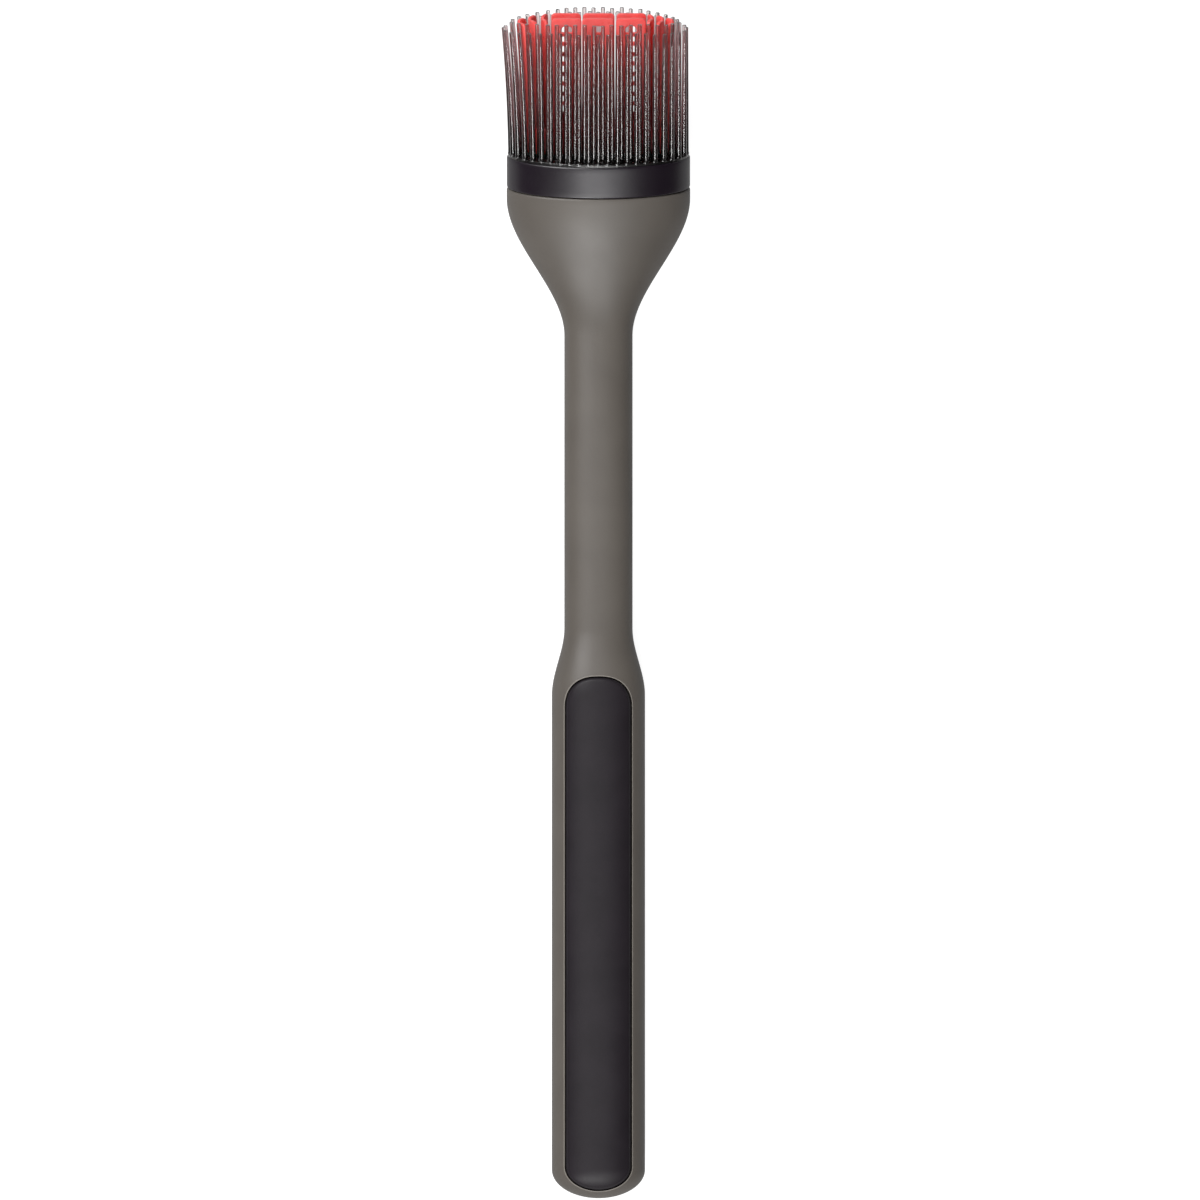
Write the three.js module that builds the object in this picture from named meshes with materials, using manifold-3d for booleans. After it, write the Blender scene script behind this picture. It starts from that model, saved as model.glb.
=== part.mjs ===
// A long pastry and basting brush with moulded silicone bristles, lying on its back on a counter.
// Millimetres. +X runs across the brush, +Y from the butt to the bristle tips, +Z out of the front
// face, and z = 0 is the counter. The origin is under the middle of the brush's bounding box.
// Along the handle, y is measured from the butt. The head leans forward off the counter, and its
// parts are drawn in the head's own frame: z up the bristles from the collar's lower edge,
// x across, and y towards the back.

import * as THREE from 'three';
import { mergeVertices } from 'three/addons/utils/BufferGeometryUtils.js';
import Module from 'manifold-3d';

const wasm = await Module();
wasm.setup();

// Driving dimensions of the handle
const LENGTH = 305;
const BUTT_LENGTH = 7.3;
const GRIP_HALF_WIDTH = 11.9;
const GRIP_HALF_DEPTH = 8.5;
const GRIP_HEIGHT = 8.45;
const SHOULDER_START = 129;
const SHOULDER_END = 146;
const NECK_HALF_WIDTH = 8.7;
const NECK_HALF_DEPTH = 5.75;
const NECK_HEIGHT = 8.5;
const FLARE_START = 221;
const FLARE_END = 256;
const HEAD_TILT = THREE.MathUtils.degToRad(16);

// Driving dimensions of the head, in its own frame
const HEAD_Y = 259.1;
const HEAD_HALF_WIDTH = 23.45;
const HEAD_HALF_DEPTH = 12.25;
const COLLAR_TOP = 8.3;
const COLLAR_PLATE = 2.5;
const SKIRT_LENGTH = 6.5;
const SKIRT_HALF_WIDTH = 20.3;
const SKIRT_HALF_DEPTH = 9.3;
const SKIRT_WALL = 1.7;
const FLANGE_THICKNESS = 0.7;
// two rows of round bristles; start is the share of one space that the first stands from +X
const ROWS = [
  { halfWidth: 22.4, halfDepth: 11.2, count: 44, start: 0, tip: COLLAR_TOP + 35 },
  { halfWidth: 20.3, halfDepth: 8.7, count: 40, start: 0.5, tip: COLLAR_TOP + 36.8 },
];
const RED_BLOCK_TOP = 16.3;
const PADDLE_TIP = COLLAR_TOP + 37;
const PADDLES = [{ x: -8.3, width: 7.6 }, { x: 0, width: 8.1 }, { x: 8.3, width: 7.6 }];
const PADDLE_ROW_DEPTH = 2.6;
const FIN_THICKNESS = 0.9;
// the narrow paddles towards the sides: x at the root and the tip, how far each is turned from the
// front, its width, its distance from the middle plane, and how much lower than the wide ones it ends
const FINS = [
  { root: 13.1, tip: 13.5, turn: 70, width: 3.3, y: 1.95, lower: 0.25 },
  { root: 15.2, tip: 16, turn: 62, width: 3.3, y: 1.95, lower: 0.5 },
  { root: 17.3, tip: 18.1, turn: 50, width: 2.9, y: 2, lower: 0.9 },
];

// Driving dimensions of the soft pads
const PAD_HALF_WIDTH = 8.35;
const PAD_START = 2.2;
const PAD_END = 133.4;
const PAD_DEPTH = 2;
const PAD_PROUD = 0.35;

const GAP = 0.3;
const OVAL_SEGMENTS = 22;

// Booleans: geometry to solid and back

function solid(geometry) {
  const plain = geometry.clone();
  plain.deleteAttribute('normal');
  plain.deleteAttribute('uv');
  const merged = mergeVertices(plain, 1e-4);
  return new wasm.Manifold(new wasm.Mesh({
    numProp: 3,
    vertProperties: new Float32Array(merged.attributes.position.array),
    triVerts: new Uint32Array(merged.index.array),
  }));
}

function geometryOf(shape) {
  const mesh = shape.getMesh();
  const geometry = new THREE.BufferGeometry();
  geometry.setAttribute('position', new THREE.BufferAttribute(mesh.vertProperties, 3));
  geometry.setIndex(new THREE.BufferAttribute(mesh.triVerts, 1));
  geometry.computeVertexNormals();
  return geometry;
}

// The handle's section at distance y from the butt

function blend(y, start, end, from, to) {
  return THREE.MathUtils.lerp(from, to, THREE.MathUtils.smoothstep(y, start, end));
}

function handleSection(y) {
  const halfWidth = blend(y, SHOULDER_START, SHOULDER_END, GRIP_HALF_WIDTH, NECK_HALF_WIDTH)
    + blend(y, FLARE_START, FLARE_END, 0, HEAD_HALF_WIDTH - NECK_HALF_WIDTH);
  const halfDepth = blend(y, SHOULDER_START, SHOULDER_END, GRIP_HALF_DEPTH, NECK_HALF_DEPTH)
    + blend(y, FLARE_START, FLARE_END, 0, HEAD_HALF_DEPTH - NECK_HALF_DEPTH);
  // the exponent of the section's superellipse: 2 is a true oval, as the head is
  const squareness = blend(y, FLARE_START, FLARE_END, 2.3, 2);
  return { halfWidth, halfDepth, squareness, tilt: blend(y, FLARE_START, FLARE_END, 0, HEAD_TILT) };
}

// The centreline's height is the integral of its slope, which grows smoothly along the flare
function centreHeight(y) {
  const flareLength = FLARE_END - FLARE_START;
  const t = THREE.MathUtils.clamp((y - FLARE_START) / flareLength, 0, 1);
  const straight = Math.max(0, y - FLARE_END);
  const rise = Math.tan(HEAD_TILT) * (flareLength * (t ** 3 - t ** 4 / 2) + straight);
  return blend(y, SHOULDER_START, SHOULDER_END, GRIP_HEIGHT, NECK_HEIGHT) + rise;
}

function superellipse(angle, exponent) {
  const cos = Math.cos(angle);
  const sin = Math.sin(angle);
  return {
    across: Math.sign(cos) * Math.abs(cos) ** (2 / exponent),
    along: Math.sign(sin) * Math.abs(sin) ** (2 / exponent),
  };
}

// Stations along the handle: y, and how much of the full section it has, for the domed butt
function handleStations(offset) {
  const stations = [];
  for (const degrees of [10, 20, 32, 45, 58, 74, 90]) {
    const angle = THREE.MathUtils.degToRad(degrees);
    const y = BUTT_LENGTH - (BUTT_LENGTH + offset) * Math.cos(angle);
    stations.push({ y, share: Math.sin(angle) });
  }
  const steps = (count, from, to) => {
    for (let i = 0; i <= count; i += 1) {
      stations.push({ y: THREE.MathUtils.lerp(from, to, i / count), share: 1 });
    }
  };
  steps(6, SHOULDER_START, SHOULDER_END);
  steps(10, FLARE_START, FLARE_END);
  stations.push({ y: HEAD_Y - GAP, share: 1 });
  return stations;
}

// The handle's outer form, grown or shrunk by offset: a cylinder whose rings follow the stations
function handleForm(offset) {
  const around = 32;
  const stations = handleStations(offset);
  const form = new THREE.CylinderGeometry(1, 1, 1, around, stations.length - 1);
  const position = form.attributes.position;
  for (let i = 0; i < position.count; i += 1) {
    const ring = Math.round((position.getY(i) + 0.5) * (stations.length - 1));
    const { y, share } = stations[ring];
    const { halfWidth, halfDepth, squareness, tilt } = handleSection(y);
    const reach = Math.hypot(position.getX(i), position.getZ(i)) < 0.5 ? 0 : share;
    const angle = Math.atan2(position.getZ(i), position.getX(i));
    const { across, along } = superellipse(angle, squareness);
    const depth = (halfDepth + offset) * reach * along;
    position.setXYZ(
      i,
      (halfWidth + offset) * reach * across,
      y - depth * Math.sin(tilt),
      centreHeight(y) + depth * Math.cos(tilt),
    );
  }
  return form;
}

// An oval prism in the head's frame
function ovalPrism(halfWidth, halfDepth, bottom, top, bevel = 0) {
  const outline = new THREE.Shape();
  outline.absellipse(0, 0, halfWidth - bevel, halfDepth - bevel, 0, 2 * Math.PI);
  const prism = new THREE.ExtrudeGeometry(outline, {
    depth: top - bottom - 2 * bevel,
    curveSegments: OVAL_SEGMENTS,
    bevelEnabled: bevel > 0,
    bevelSize: bevel,
    bevelThickness: bevel,
    bevelSegments: 2,
  });
  return prism.translate(0, 0, bottom + bevel);
}

function roundPost(radius, x, y, bottom, top, sides = 12) {
  const post = new THREE.CylinderGeometry(radius, radius, top - bottom, sides);
  return post.rotateX(Math.PI / 2).translate(x, y, (bottom + top) / 2);
}

function block(width, depth, height, x, y, z) {
  return new THREE.BoxGeometry(width, depth, height).translate(x, y, z);
}

// From the head's frame to the handle's: the head's z axis leans forward from +Y by the tilt
const HEAD_PLACE = new THREE.Vector3(0, HEAD_Y, centreHeight(HEAD_Y));
const HEAD_TURN = HEAD_TILT - Math.PI / 2;

function inHandle(geometry) {
  return geometry.rotateX(HEAD_TURN).translate(HEAD_PLACE.x, HEAD_PLACE.y, HEAD_PLACE.z);
}

// The pads' outline: straight sides, a squarish upper end and a round lower end

function padPrism(inset, front) {
  const topLength = 8;
  const bottomLength = 6;
  const halfWidth = PAD_HALF_WIDTH - inset;
  const points = [];
  const steps = 8;
  for (let i = 0; i <= steps; i += 1) {
    const { across, along } = superellipse((Math.PI * i) / steps, 2.4);
    const y = PAD_END - topLength + (topLength - inset) * along;
    points.push(new THREE.Vector2(halfWidth * across, y));
  }
  for (let i = 0; i <= steps; i += 1) {
    const { across, along } = superellipse((Math.PI * i) / steps, 2);
    const y = PAD_START + bottomLength - (bottomLength - inset) * along;
    points.push(new THREE.Vector2(-halfWidth * across, y));
  }
  const reach = 2 * GRIP_HALF_DEPTH;
  const prism = new THREE.ExtrudeGeometry(new THREE.Shape(points), { depth: reach, bevelEnabled: false });
  return prism.translate(0, 0, front ? GRIP_HEIGHT : GRIP_HEIGHT - reach);
}

// The head's fastenings, in its own frame
const SNAP = { width: 7, height: 1.6, proud: 0.7, z: -3.8 };
const CORE = { halfWidth: 5.8, halfDepth: 4.4, depth: 12 };
const POST_X = 9;
const POST_RADIUS = 2.2;
const SPIGOT_RADIUS = 0.9;
const PLUG_RADIUS = 1.3;
const PLUG_HEAD_RADIUS = 1.8;
const PLATE_BOTTOM = 2.6;
const PLATE_TOP = 4.1;
const CAVITY_TOP = COLLAR_TOP - COLLAR_PLATE;
const RED_NECK = { halfWidth: 8, halfDepth: 2 };
const PLUG_PLACES = [[4.5, 5.2], [12.8, 2.9], [-4.5, 5.2], [-12.8, 2.9]]
  .flatMap(([x, y]) => [[x, y], [x, -y]]);

function snapBlock(side, clearance) {
  return block(
    SNAP.width + 2 * clearance,
    2 * SNAP.proud + 2 * clearance,
    SNAP.height + 2 * clearance,
    0,
    side * SKIRT_HALF_DEPTH,
    SNAP.z,
  );
}

// Grey handle: pockets for both pads, a socket for the collar's skirt with its two snap pockets,
// a cored-out neck below it, and two posts that back the retainer plate
function handleBody() {
  let body = solid(handleForm(0));
  const pocketFloor = solid(handleForm(-PAD_DEPTH - GAP));
  for (const front of [true, false]) {
    body = body.subtract(solid(padPrism(-GAP, front)).subtract(pocketFloor));
  }
  const socketFloor = -SKIRT_LENGTH - GAP;
  const above = 2;
  const cuts = [
    ovalPrism(SKIRT_HALF_WIDTH + GAP, SKIRT_HALF_DEPTH + GAP, socketFloor, above),
    ovalPrism(CORE.halfWidth, CORE.halfDepth, socketFloor - CORE.depth, above),
    snapBlock(1, GAP),
    snapBlock(-1, GAP),
  ];
  for (const cut of cuts) {
    body = body.subtract(solid(inHandle(cut)));
  }
  for (const x of [-POST_X, POST_X]) {
    const post = roundPost(POST_RADIUS, x, 0, socketFloor - 1, PLATE_BOTTOM - GAP);
    const spigot = roundPost(SPIGOT_RADIUS, x, 0, PLATE_BOTTOM - 1, PLATE_TOP - GAP, 8);
    body = body.add(solid(inHandle(post))).add(solid(inHandle(spigot)));
  }
  return geometryOf(body);
}

// A soft pad: the handle's own form within the pad's outline, a little proud of the handle.
// The back pad is cut flat along its middle, where the brush rests on the counter.
function gripPad(front) {
  let pad = solid(handleForm(PAD_PROUD)).intersect(solid(padPrism(0, front)));
  pad = pad.subtract(solid(handleForm(-PAD_DEPTH)));
  if (!front) {
    const size = 2 * LENGTH;
    pad = pad.subtract(solid(new THREE.BoxGeometry(size, size, size).translate(0, 0, -size / 2)));
  }
  return geometryOf(pad);
}

// Hard black collar: the visible band with a holed top plate, and the skirt that snaps into the handle
function headCollar() {
  let collar = solid(ovalPrism(HEAD_HALF_WIDTH, HEAD_HALF_DEPTH, 0, COLLAR_TOP, 0.5));
  collar = collar.add(solid(ovalPrism(SKIRT_HALF_WIDTH, SKIRT_HALF_DEPTH, -SKIRT_LENGTH, 1)));
  const inside = [SKIRT_HALF_WIDTH - SKIRT_WALL, SKIRT_HALF_DEPTH - SKIRT_WALL];
  collar = collar.subtract(solid(ovalPrism(...inside, -SKIRT_LENGTH - 1, CAVITY_TOP)));
  for (const side of [-1, 1]) {
    // half of each block stands proud of the skirt, and the other half is inside its wall
    collar = collar.add(solid(snapBlock(side, 0)));
  }
  const through = COLLAR_PLATE + 2;
  const slot = block(
    2 * (RED_NECK.halfWidth + GAP),
    2 * (RED_NECK.halfDepth + GAP),
    through,
    0,
    0,
    COLLAR_TOP - COLLAR_PLATE / 2,
  );
  collar = collar.subtract(solid(slot));
  for (const [x, y] of PLUG_PLACES) {
    const hole = roundPost(PLUG_RADIUS + GAP, x, y, CAVITY_TOP - 1, COLLAR_TOP + 1);
    collar = collar.subtract(solid(hole));
  }
  return geometryOf(collar);
}

// Evenly spaced places round an oval
function ovalPlaces({ halfWidth, halfDepth, count, start }) {
  const curve = new THREE.EllipseCurve(0, 0, halfWidth, halfDepth, 0, 2 * Math.PI);
  return Array.from({ length: count }, (_, i) => curve.getPointAt((i + start) / count));
}

function bristle(place, bottom, tip) {
  const rootRadius = 0.7;
  const tipRadius = 0.5;
  const shape = new THREE.CylinderGeometry(tipRadius, rootRadius, tip - bottom, 6);
  return shape.rotateX(Math.PI / 2).translate(place.x, place.y, (bottom + tip) / 2);
}

// Smoky silicone moulding: an oval flange on the collar, two staggered rows of round bristles,
// and headed plugs through the collar's plate
function outerBristles() {
  const bottom = COLLAR_TOP + GAP;
  const top = bottom + FLANGE_THICKNESS;
  let moulding = solid(ovalPrism(HEAD_HALF_WIDTH - GAP, HEAD_HALF_DEPTH - GAP, bottom, top));
  const slot = [2 * (RED_NECK.halfWidth + GAP), 2 * (RED_NECK.halfDepth + GAP)];
  moulding = moulding.subtract(solid(block(...slot, 4, 0, 0, (bottom + top) / 2)));
  for (const row of ROWS) {
    for (const place of ovalPlaces(row)) {
      moulding = moulding.add(solid(bristle(place, top - 0.5, row.tip)));
    }
  }
  const headTop = CAVITY_TOP - GAP;
  for (const [x, y] of PLUG_PLACES) {
    const stem = roundPost(PLUG_RADIUS, x, y, headTop - 0.5, bottom + 0.5);
    const plugHead = roundPost(PLUG_HEAD_RADIUS, x, y, PLATE_TOP + GAP, headTop);
    moulding = moulding.add(solid(stem)).add(solid(plugHead));
  }
  return geometryOf(moulding);
}

// A flat ladder-shaped paddle in the X-Z plane: a frame with windows and rungs in turn. The shift
// lowers all rungs, and the window nearest the tip is cut short by the frame's top bar.
function ladderPaddle(x, y, width, rungShift) {
  const thickness = 1.2;
  const windowWidth = 3;
  const windowHeight = 4.2;
  const pitch = 5.25;
  const bottom = RED_BLOCK_TOP - 0.5;
  const tip = PADDLE_TIP;
  const corner = 1;
  const topBar = 2;
  const half = width / 2;
  const outline = new THREE.Shape();
  outline.moveTo(-half, bottom);
  outline.lineTo(half, bottom);
  outline.lineTo(half, tip - corner);
  outline.lineTo(half - corner, tip);
  outline.lineTo(-half + corner, tip);
  outline.lineTo(-half, tip - corner);
  outline.closePath();
  const lowest = RED_BLOCK_TOP + 0.8;
  const highest = tip - topBar;
  const side = windowWidth / 2;
  for (let top = highest + pitch - rungShift; top - windowHeight > lowest; top -= pitch) {
    if (top - windowHeight >= highest) {
      continue;
    }
    const window = new THREE.Path();
    const windowTop = Math.min(top, highest);
    window.moveTo(-side, top - windowHeight);
    window.lineTo(-side, windowTop);
    window.lineTo(side, windowTop);
    window.lineTo(side, top - windowHeight);
    window.closePath();
    outline.holes.push(window);
  }
  const paddle = new THREE.ExtrudeGeometry(outline, { depth: thickness, bevelEnabled: false });
  return paddle.rotateX(Math.PI / 2).translate(x, y + thickness / 2, 0);
}

// A narrow paddle turned towards its side of the oval, and leaning out to that side
function sideFin({ root, tip, turn, width, y, lower }, side, row) {
  const bottom = RED_BLOCK_TOP - 0.5;
  const height = PADDLE_TIP - lower - bottom;
  const fin = block(width, FIN_THICKNESS, height, 0, 0, height / 2);
  fin.rotateZ(-side * row * THREE.MathUtils.degToRad(turn));
  fin.rotateY(side * Math.atan2(tip - root, height));
  return fin.translate(side * root, row * y, bottom);
}

// Red silicone moulding: a root block, two rows of three ladder paddles, narrow paddles towards both
// sides of the oval, and a neck and foot through the flange and the collar's plate
function innerBristles() {
  const blockBottom = COLLAR_TOP + 2 * GAP + FLANGE_THICKNESS;
  const endRadius = 4;
  const endX = 14.8;
  const outline = new THREE.Shape();
  outline.absarc(endX, 0, endRadius, -Math.PI / 2, Math.PI / 2);
  outline.absarc(-endX, 0, endRadius, Math.PI / 2, 1.5 * Math.PI);
  const root = new THREE.ExtrudeGeometry(outline, {
    depth: RED_BLOCK_TOP - blockBottom,
    curveSegments: 10,
    bevelEnabled: false,
  });
  let moulding = solid(root.translate(0, 0, blockBottom));
  const backRungShift = 4.1;
  for (const { x, width } of PADDLES) {
    moulding = moulding.add(solid(ladderPaddle(x, -PADDLE_ROW_DEPTH, width, 0)));
    moulding = moulding.add(solid(ladderPaddle(x, PADDLE_ROW_DEPTH, width, backRungShift)));
  }
  for (const fin of FINS) {
    for (const side of [-1, 1]) {
      moulding = moulding.add(solid(sideFin(fin, side, 1))).add(solid(sideFin(fin, side, -1)));
    }
  }
  const { halfWidth, halfDepth } = RED_NECK;
  const footTop = CAVITY_TOP - GAP;
  const footBottom = PLATE_TOP + GAP;
  const neckHeight = blockBottom - footTop + 1;
  const neck = block(2 * halfWidth, 2 * halfDepth, neckHeight, 0, 0, (blockBottom + footTop) / 2);
  const footHeight = footTop - footBottom;
  const footWidth = 2 * halfWidth + 2.4;
  const footDepth = 2 * halfDepth + 1.6;
  const foot = block(footWidth, footDepth, footHeight, 0, 0, footBottom + footHeight / 2);
  return geometryOf(moulding.add(solid(neck)).add(solid(foot)));
}

// Hard plate in the collar's cavity, pushed up against the silicone by the handle's two posts
function retainerPlate() {
  const clearance = SKIRT_WALL + 2 * GAP;
  const halfWidth = SKIRT_HALF_WIDTH - clearance;
  let plate = solid(ovalPrism(halfWidth, SKIRT_HALF_DEPTH - clearance, PLATE_BOTTOM, PLATE_TOP));
  for (const x of [-POST_X, POST_X]) {
    const hole = roundPost(SPIGOT_RADIUS + GAP, x, 0, PLATE_BOTTOM - 1, PLATE_TOP + 1, 8);
    plate = plate.subtract(solid(hole));
  }
  return geometryOf(plate);
}

function material(color, roughness) {
  return new THREE.MeshStandardMaterial({ color, roughness, metalness: 0 });
}

const greyPlastic = material('#716e69', 0.45);
const blackRubber = material('#2b292b', 0.7);
const blackPlastic = material('#1e1c1e', 0.4);
const smokeSilicone = material('#5a5452', 0.3);
const redSilicone = material('#c83c38', 0.4);

function named(name, geometry, meshMaterial) {
  const mesh = new THREE.Mesh(geometry, meshMaterial);
  mesh.name = name;
  return mesh;
}

const brush = new THREE.Group();
brush.position.y = -LENGTH / 2;
brush.add(named('handle_body', handleBody(), greyPlastic));
brush.add(named('front_grip_pad', gripPad(true), blackRubber));
brush.add(named('rear_grip_pad', gripPad(false), blackRubber));

const head = new THREE.Group();
head.position.copy(HEAD_PLACE);
head.rotation.x = HEAD_TURN;
head.add(named('head_collar', headCollar(), blackPlastic));
head.add(named('outer_bristles', outerBristles(), smokeSilicone));
head.add(named('inner_bristles', innerBristles(), redSilicone));
head.add(named('retainer_plate', retainerPlate(), blackPlastic));
brush.add(head);

const group = new THREE.Group();
group.add(brush);

export default group;
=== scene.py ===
import math
import random

import bpy
from mathutils import Matrix, Vector


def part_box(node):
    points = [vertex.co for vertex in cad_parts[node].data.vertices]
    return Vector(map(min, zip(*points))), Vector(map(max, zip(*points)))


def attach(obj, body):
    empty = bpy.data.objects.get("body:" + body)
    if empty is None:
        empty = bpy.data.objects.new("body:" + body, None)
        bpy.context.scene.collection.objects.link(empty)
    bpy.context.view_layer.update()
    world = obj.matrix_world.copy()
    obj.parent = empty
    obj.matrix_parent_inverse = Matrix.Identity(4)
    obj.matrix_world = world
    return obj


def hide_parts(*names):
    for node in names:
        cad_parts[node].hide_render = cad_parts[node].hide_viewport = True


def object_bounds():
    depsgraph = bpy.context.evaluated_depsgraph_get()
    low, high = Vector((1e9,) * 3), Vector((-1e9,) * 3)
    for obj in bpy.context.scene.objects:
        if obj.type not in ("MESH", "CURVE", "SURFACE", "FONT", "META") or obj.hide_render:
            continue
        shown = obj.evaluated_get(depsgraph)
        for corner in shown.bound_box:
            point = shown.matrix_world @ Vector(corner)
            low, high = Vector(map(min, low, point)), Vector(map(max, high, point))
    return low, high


# A long silicone pastry brush lying on its back, seen from straight above.
# Shapes are drawn in millimetres. Along the handle, y is measured from the butt and z from the
# counter. The head has its own frame: x across, y towards the back, z up the bristles from the
# collar's lower edge. The last step of each piece places it in the row frame, in metres.

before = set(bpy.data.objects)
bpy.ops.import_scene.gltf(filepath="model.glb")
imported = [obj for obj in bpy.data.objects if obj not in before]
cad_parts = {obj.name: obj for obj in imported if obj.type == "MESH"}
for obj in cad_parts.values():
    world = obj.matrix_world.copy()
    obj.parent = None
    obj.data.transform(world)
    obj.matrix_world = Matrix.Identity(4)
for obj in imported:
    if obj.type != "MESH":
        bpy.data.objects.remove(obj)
cad_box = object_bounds()

MM = 0.001
handle_low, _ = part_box("handle_body")
_, collar_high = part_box("head_collar")
_, pad_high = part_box("front_grip_pad")

# The handle, as in the CAD model: lengths from the butt, and half sizes of its oval sections
BUTT_LENGTH = 7.3
GRIP_HALF_WIDTH = 11.9
GRIP_HALF_DEPTH = 8.5
GRIP_HEIGHT = 8.45
SHOULDER = (129.0, 146.0)
NECK_HALF_WIDTH = 8.7
NECK_HALF_DEPTH = 5.75
NECK_HEIGHT = 8.5
FLARE = (221.0, 256.0)
HEAD_TILT = math.radians(16)
HEAD_Y = 259.1
HEAD_HALF_WIDTH = collar_high.x / MM
HEAD_HALF_DEPTH = 12.25
HEAD_CORNER = 0.55

# Between pieces: GAP where it is hidden, SEAM where it shows
GAP = 0.3
SEAM = 0.1

# The head, in its own frame. SKIRT and RED_NECK are half widths and half depths.
COLLAR_TOP = 8.3
CAVITY_TOP = COLLAR_TOP - 2.5
PLUG_BOTTOM = 4.4
SKIRT = (20.3, 9.3)
SKIRT_LENGTH = 6.5
SKIRT_WALL = 1.7
FLANGE_BOTTOM = COLLAR_TOP + 0.05
FLANGE_TOP = 8.95
RED_BLOCK_TOP = 16.3
OUTER_TIP = COLLAR_TOP + 35.0
SECOND_TIP = COLLAR_TOP + 36.8
PADDLE_TIP = COLLAR_TOP + 37.0
RED_NECK = (8.0, 2.0)
QUARTERS = [(sx, sy) for sx in (-1, 1) for sy in (-1, 1)]
PLUG_PLACES = [(sx * x, sy * y) for x, y in ((4.5, 5.2), (12.8, 2.9)) for sx, sy in QUARTERS]

# The soft pads
PAD_HALF_WIDTH = pad_high.x / MM
PAD_START = 2.2
PAD_END = 133.4
PAD_DEPTH = 2.0
PAD_PROUD = 0.35
PAD_EDGE = 0.85

rng = random.Random(11)


# ---------------------------------------------------------------- meshes


def smoothstep(value, start, end):
    t = min(1.0, max(0.0, (value - start) / (end - start)))
    return t * t * (3 - 2 * t)


def mix(start, end, share):
    return start + (end - start) * share


def steps(start, end, count, include_end=True):
    last = count if include_end else count - 1
    return [mix(start, end, i / count) for i in range(last + 1)]


def rounding(radius, degrees):
    """How far in from the side, and how far below the top, a rounded edge is at each angle."""
    turns = [math.radians(angle) for angle in degrees]
    return [(radius * (1 - math.cos(turn)), radius * (1 - math.sin(turn))) for turn in turns]


def new_object(name, points, faces):
    mesh = bpy.data.meshes.new(name)
    mesh.from_pydata(points, [], faces)
    mesh.update()
    obj = bpy.data.objects.new(name, mesh)
    bpy.context.scene.collection.objects.link(obj)
    return obj


def loft(name, rings, cap_start=None, cap_end=None, closed=False):
    """A mesh through rings of equally many points. A cap is a point that its end's ring closes to."""
    count = len(rings[0])
    points = [p for ring in rings for p in ring]
    faces = []
    pairs = [(i, i + 1) for i in range(len(rings) - 1)]
    if closed:
        pairs.append((len(rings) - 1, 0))
    for a, b in pairs:
        for i in range(count):
            j = (i + 1) % count
            faces.append((a * count + i, a * count + j, b * count + j, b * count + i))
    for cap, first, turned in ((cap_start, 0, True), (cap_end, len(rings) - 1, False)):
        if cap is None:
            continue
        points.append(cap)
        for i in range(count):
            corner = (first * count + i, first * count + (i + 1) % count)
            faces.append((*(corner[::-1] if turned else corner), len(points) - 1))
    return new_object(name, points, faces)


def settle(obj, merge=1e-4):
    """Joins points that lie on each other, and turns all faces outwards."""
    bpy.context.view_layer.objects.active = obj
    for other in bpy.context.selected_objects:
        other.select_set(False)
    obj.select_set(True)
    bpy.ops.object.mode_set(mode="EDIT")
    bpy.ops.mesh.select_all(action="SELECT")
    bpy.ops.mesh.remove_doubles(threshold=merge)
    bpy.ops.mesh.normals_make_consistent(inside=False)
    bpy.ops.object.mode_set(mode="OBJECT")
    return obj


def join(objects):
    """Makes one object of several."""
    for other in bpy.context.selected_objects:
        other.select_set(False)
    for obj in objects:
        obj.select_set(True)
    bpy.context.view_layer.objects.active = objects[0]
    bpy.ops.object.join()
    return objects[0]


def boolean(piece, tool, operation):
    """Cuts tool from piece or joins it on, and deletes tool."""
    modifier = piece.modifiers.new("boolean", "BOOLEAN")
    modifier.object = tool
    modifier.operation = operation
    modifier.solver = "MANIFOLD"
    evaluated = piece.evaluated_get(bpy.context.evaluated_depsgraph_get())
    mesh = bpy.data.meshes.new_from_object(evaluated)
    if len(mesh.polygons) == 0:
        raise RuntimeError(f"the boolean on {piece.name} left nothing")
    piece.modifiers.clear()
    piece.data = mesh
    bpy.data.objects.remove(tool)
    return piece


def head_matrix():
    """From the head's frame to the brush's, in millimetres: its z leans forward from +Y."""
    turn = Matrix.Rotation(HEAD_TILT - math.pi / 2, 4, "X")
    return Matrix.Translation((0, HEAD_Y, centre_height(HEAD_Y))) @ turn


def finish_piece(obj, nodes, material, in_head=False, sharp=40):
    """Places a finished shape in the row frame, gives it its material, hangs it on the root body and
    hides the CAD parts it replaces.
    """
    to_row = Matrix.Translation((0, handle_low.y, 0)) @ Matrix.Scale(MM, 4)
    obj.data.transform(to_row @ (head_matrix() if in_head else Matrix.Identity(4)))
    obj.data.materials.clear()
    obj.data.materials.append(material)
    obj.data.polygons.foreach_set("use_smooth", [True] * len(obj.data.polygons))
    obj.data.set_sharp_from_angle(angle=math.radians(sharp))
    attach(obj, "root")
    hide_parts(*nodes)
    return obj


# ---------------------------------------------------------------- the handle's form


def handle_section(y):
    """(half width, half depth, superellipse exponent, tilt) at y."""
    shoulder = smoothstep(y, *SHOULDER)
    flare = smoothstep(y, *FLARE)
    half_width = mix(GRIP_HALF_WIDTH, NECK_HALF_WIDTH, shoulder)
    half_width += (HEAD_HALF_WIDTH - NECK_HALF_WIDTH) * flare
    half_depth = mix(GRIP_HALF_DEPTH, NECK_HALF_DEPTH, shoulder)
    half_depth += (HEAD_HALF_DEPTH - NECK_HALF_DEPTH) * flare
    return half_width, half_depth, mix(2.3, 2.0, flare), HEAD_TILT * flare


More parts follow.
